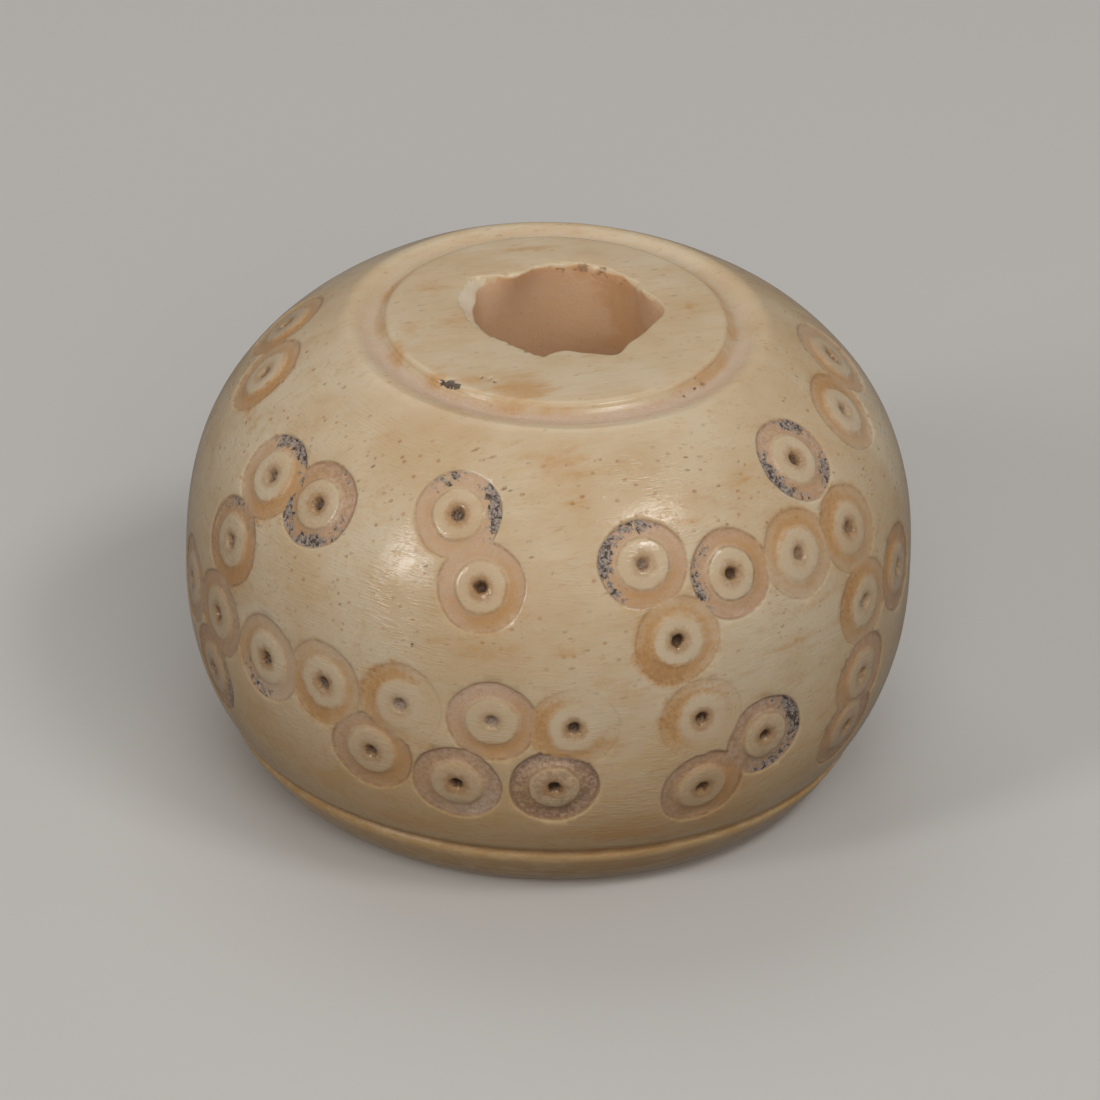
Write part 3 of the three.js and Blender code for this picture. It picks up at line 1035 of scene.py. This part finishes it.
    def paint_flecks(self):
        """The bone's fine canals and fibres, outside the rings and thinner on the disc and low down."""
        patches = self.ramp(self.noise(self.place, 2.6, 2), 0.4, 0.6)
        upper = 0.25 + 0.75 * self.ramp(self.height, 8, 14)
        plain = (1 - (self.floor + self.eye).at_most(1)) * (1 - 0.6 * self.top)
        flecks = self.pores(self.place, (0.8, 0.3, 0.3), 0.25, 0.5) * patches * upper * plain
        freckles = self.pores(self.place, (0.5, 0.35, 0.35), 0.26, 0.45) * upper * plain
        fibres = self.ramp(self.grain_noise(self.place, (0.9, 0.09, 0.09), 2), 0.6, 0.74)
        self.paint(flecks * self.ramp(self.mottle, 0.35, 0.6) * 0.75, FLECK_BROWN)
        self.paint(freckles * self.ramp(self.blotches, 0.35, 0.6) * 0.6, RUST)
        self.paint(fibres * (0.04 + 0.22 * patches) * plain * self.ramp(self.height, 0, 2), RUST)

    def paint_bore(self):
        """The bore's tan wall, fresh bone in the rim's chips, and crumbs of dirt along its back edge."""
        self.paint(self.bore * (0.5 + 0.5 * self.blotches), BORE_TAN)
        self.paint(self.bore * self.ramp(self.drift, 0.5, 0.65) * 0.5, ORANGE_TAN)
        fresh = self.attribute("fresh") + self.mottle.swing(0.8)
        self.paint(self.ramp(fresh, 0.15, 0.5) * 0.7, FRESH_CREAM)
        crumbs = self.attribute("crumbs") + self.blotches.swing(2.2)
        self.paint(self.ramp(crumbs, 1.0, 1.25) * 0.7, LINE_BROWN)

    def paint_foot(self):
        """Brown dirt in the groove over the band, and a painted warm shade low on the side. Gives back where
        the groove is.
        """
        foot = self.band(self.height, FOOT_BAND)
        # Painted warm shade on the lowest part of the side, next to the floor
        painted_low_shade = self.band(self.height, LOW_SIDE_BAND)
        self.paint((foot * 0.45 + painted_low_shade * 0.6) * self.ramp(self.streaks, 0.3, 0.6), FOOT_BROWN)
        return foot

    def paint_specks(self):
        """The dark specks, ragged at their edges."""
        speck = self.attribute("speck")
        ragged = self.ramp(speck + self.specks.swing(1.0) + self.mottle.swing(1.4), 0.35, 0.65)
        self.paint(ragged * self.ramp(speck, 0.1, 0.35) * 0.85, CRUST_BLACK)

    def scratches(self):
        """Fine turning scratches round the side, in patches."""
        turning = self.node(
            "ShaderNodeCombineXYZ",
            inputs={
                "X": self.right * 1.8 + self.away * 0.4,
                "Y": self.away * 1.8,
                "Z": self.attribute("way_up") * 13,
            },
        ).out("Vector")
        lines = self.node(
            "ShaderNodeTexNoise",
            inputs={"Vector": turning, "Scale": 1.0, "Detail": 2.0, "Roughness": 0.6},
        ).out("Fac")
        patches = self.ramp(self.blotches * 0.4 + self.drift * 0.6, 0.4, 0.6)
        return self.ramp(lines, 0.4, 0.7) * patches * (1 - 0.8 * self.top) * self.ramp(self.height, 0.2, 1)


def bone_material():
    bone = Bone()
    bone.paint_ground()
    bone.paint_rings()
    crust_cover = bone.paint_crust()
    pit = bone.paint_dots()
    bone.paint_moat()
    bone.paint_flecks()
    bone.paint_bore()
    foot = bone.paint_foot()
    bone.paint_specks()

    cut = (bone.floor * (0.3 + 0.7 * bone.tan) + bone.moat + bone.bore).at_most(1)
    gloss = bone.eye * bone.attribute("gloss")
    rough = 0.12 + 0.12 * bone.noise(bone.place, 1.2, 3) + 0.2 * cut + 0.2 * foot - 0.04 * gloss
    rough = rough + crust_cover * 0.35 + pit * 0.35
    relief = (
        bone.scratches() * SCRATCH_DEPTH * (1 - 0.8 * cut)
        + bone.specks * (GRAIN_DEPTH + CUT_GRAIN_DEPTH * cut)
    )
    bump = bone.node("ShaderNodeBump", inputs={"Strength": 1.0, "Distance": MM, "Height": relief})
    surface = bone.node(
        "ShaderNodeBsdfPrincipled",
        {"subsurface_method": "RANDOM_WALK"},
        {
            "Base Color": bone.colour,
            "Roughness": rough,
            "Normal": bump.out("Normal"),
            "IOR": 1.5,
            "Subsurface Weight": 0.35,
            "Subsurface Radius": (1.0, 0.55, 0.28),
            "Subsurface Scale": 0.0012,
        },
    )
    bone.node("ShaderNodeOutputMaterial", inputs={"Surface": surface.out("BSDF")})
    return bone.material


def make_whorl():
    rings = LEFT_RINGS + FRONT_RINGS + RIGHT_RINGS + back_rings()
    mesh = whorl_mesh(rings)
    mesh.materials.append(bone_material())
    whorl = bpy.data.objects.new("bone_whorl", mesh)
    bpy.context.collection.objects.link(whorl)
    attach(whorl, "root")
    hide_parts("whorl")


# The camera's fit to the photograph
CAMERA_ELEVATION = 30.21
CAMERA_DISTANCE = 0.6315
CAMERA_ROLL = 1.96
CAMERA_AIM = (0.000055, 0, 0.007944)
PICTURE_WIDTH = 0.03949
SENSOR_WIDTH = 36
CLIP_START = 0.05


def make_camera():
    data = bpy.data.cameras.new("camera")
    data.sensor_width = SENSOR_WIDTH
    data.lens = SENSOR_WIDTH * CAMERA_DISTANCE / PICTURE_WIDTH
    data.clip_start = CLIP_START
    camera = bpy.data.objects.new("camera", data)
    elevation = math.radians(CAMERA_ELEVATION)
    back = Vector((0, -math.cos(elevation), math.sin(elevation)))
    right = Vector((1, 0, 0))
    up = back.cross(right)
    turn = Matrix((right, up, back)).transposed().to_4x4()
    roll = Matrix.Rotation(math.radians(CAMERA_ROLL), 4, "Z")
    place = Matrix.Translation(Vector(CAMERA_AIM) + back * CAMERA_DISTANCE)
    camera.matrix_world = place @ turn @ roll
    bpy.context.collection.objects.link(camera)
    bpy.context.scene.camera = camera


# The floor lies a hair under the whorl, so that the two never share a plane.
FLOOR_SIZE = 2.0
FLOOR_DROP = 0.01
FLOOR_COLOUR = (0.68, 0.675, 0.67, 1)


def make_floor():
    floor_blank = bmesh.new()
    bmesh.ops.create_grid(floor_blank, x_segments=1, y_segments=1, size=FLOOR_SIZE / 2)
    bmesh.ops.translate(floor_blank, verts=floor_blank.verts, vec=(0, 0, -FLOOR_DROP * MM))
    mesh = bpy.data.meshes.new("floor")
    floor_blank.to_mesh(mesh)
    floor_blank.free()
    floor = bpy.data.objects.new("floor", mesh)
    shader = Shader("floor")
    paint = shader.node(
        "ShaderNodeBsdfPrincipled",
        inputs={"Base Color": FLOOR_COLOUR, "Roughness": 0.8},
    ).out("BSDF")
    shader.node("ShaderNodeOutputMaterial", inputs={"Surface": paint})
    mesh.materials.append(shader.material)
    floor.visible_diffuse = False
    floor.visible_glossy = False
    bpy.context.collection.objects.link(floor)


LIGHT_DISTANCE = 0.5
WARM_LIGHT = (1.0, 0.97, 0.93)
COOL_LIGHT = (0.94, 0.97, 1.0)
WORLD_COLOUR = (0.9, 0.86, 0.81, 1)
WORLD_STRENGTH = 0.165


def make_light(name, azimuth, elevation, size, power, colour=WARM_LIGHT, glossy=True):
    """A soft light that faces the whorl, at an azimuth and elevation seen from it."""
    data = bpy.data.lights.new(name, "AREA")
    data.shape = "RECTANGLE"
    data.size, data.size_y = size
    data.energy = power
    data.color = colour
    light = bpy.data.objects.new(name, data)
    across = math.radians(azimuth)
    rise = math.radians(elevation)
    aim = Vector((0, 0, DISC_HEIGHT * MM / 2))
    away = Vector((
        math.sin(across) * math.cos(rise),
        -math.cos(across) * math.cos(rise),
        math.sin(rise),
    ))
    light.location = aim + away * LIGHT_DISTANCE
    light.rotation_euler = away.to_track_quat("Z", "Y").to_euler()
    light.visible_glossy = glossy
    bpy.context.collection.objects.link(light)


def make_lights():
    make_light("left_softbox", azimuth=-50, elevation=30, size=(0.085, 0.17), power=0.45)
    make_light("right_softbox", azimuth=50, elevation=54, size=(0.14, 0.09), power=0.4)
    make_light("front_fill", azimuth=11, elevation=42, size=(0.35, 0.35), power=0.86, glossy=False)
    make_light("overhead", azimuth=-160, elevation=58, size=(0.4, 0.3), power=0.36)
    make_light("right_rim", azimuth=125, elevation=22, size=(0.2, 0.25), power=0.05, colour=COOL_LIGHT)


def make_world():
    world = bpy.data.worlds.new("studio")
    world.use_nodes = True
    background = world.node_tree.nodes["Background"]
    background.inputs["Color"].default_value = WORLD_COLOUR
    background.inputs["Strength"].default_value = WORLD_STRENGTH
    bpy.context.scene.world = world


make_camera()
make_floor()
make_lights()
make_world()
make_whorl()

bpy.context.scene.view_settings.view_transform = "Standard"
